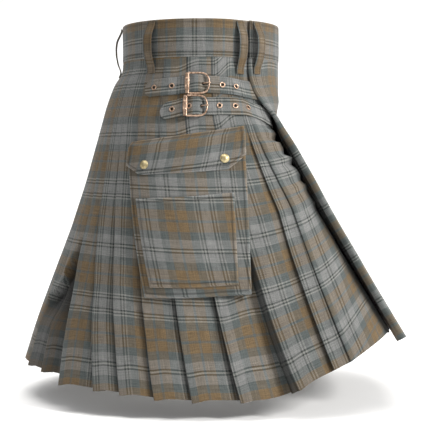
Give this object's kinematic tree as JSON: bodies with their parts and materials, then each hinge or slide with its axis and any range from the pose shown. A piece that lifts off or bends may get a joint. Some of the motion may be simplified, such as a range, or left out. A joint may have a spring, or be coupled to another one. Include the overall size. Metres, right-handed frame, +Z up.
{
  "type": "utility kilt",
  "caption": "Pleated tartan utility kilt in its worn, hollow form, with a wrapped front apron, cargo pockets, belt loops and buckled hip straps.",
  "frame": {"origin": "centre of the waist at half the height of the waistband, where the wearer holds the garment up", "axes": "+Z up along the wearer, -Y towards the wearer's front, -X towards the wearer's right, which is the side with the buckled straps"},
  "size_m": [0.57, 0.6475, 0.6023],
  "materials": {
    "skirt_tartan": "brushed twill, pressed pleats",
    "band_tartan": "brushed twill, firm",
    "strap_tartan": "brushed twill, topstitched",
    "pocket_tartan": "brushed twill, topstitched",
    "loop_cloth": "brushed twill strip",
    "copper": "antique copper, worn bright on the edges",
    "brass": "antique brass, satin"
  },
  "bodies": {
    "root": {"pleated_skirt": "skirt_tartan", "under_apron": "skirt_tartan", "over_apron": "skirt_tartan", "waistband": "band_tartan", "apron_waistband": "band_tartan", "belt_loop_back": "loop_cloth", "belt_loop_right_rear": "loop_cloth", "belt_loop_right_side": "loop_cloth", "belt_loop_apron_right": "loop_cloth", "belt_loop_apron_left": "loop_cloth", "belt_loop_left_rear": "loop_cloth", "strap_upper": "strap_tartan", "chape_upper": "strap_tartan", "buckle_upper": "copper", "prong_upper": "copper", "eyelet_upper_1": "copper", "eyelet_upper_2": "copper", "eyelet_upper_3": "copper", "eyelet_upper_4": "copper", "strap_lower": "strap_tartan", "chape_lower": "strap_tartan", "buckle_lower": "copper", "prong_lower": "copper", "eyelet_lower_1": "copper", "eyelet_lower_2": "copper", "eyelet_lower_3": "copper", "eyelet_lower_4": "copper", "pocket_right": "pocket_tartan", "pocket_patch_right": "pocket_tartan", "pocket_flap_right": "pocket_tartan", "snap_rear_right": "brass", "snap_front_right": "brass", "pocket_left": "pocket_tartan", "pocket_patch_left": "pocket_tartan", "pocket_flap_left": "pocket_tartan", "snap_rear_left": "brass", "snap_front_left": "brass"}
  },
  "joints": []
}
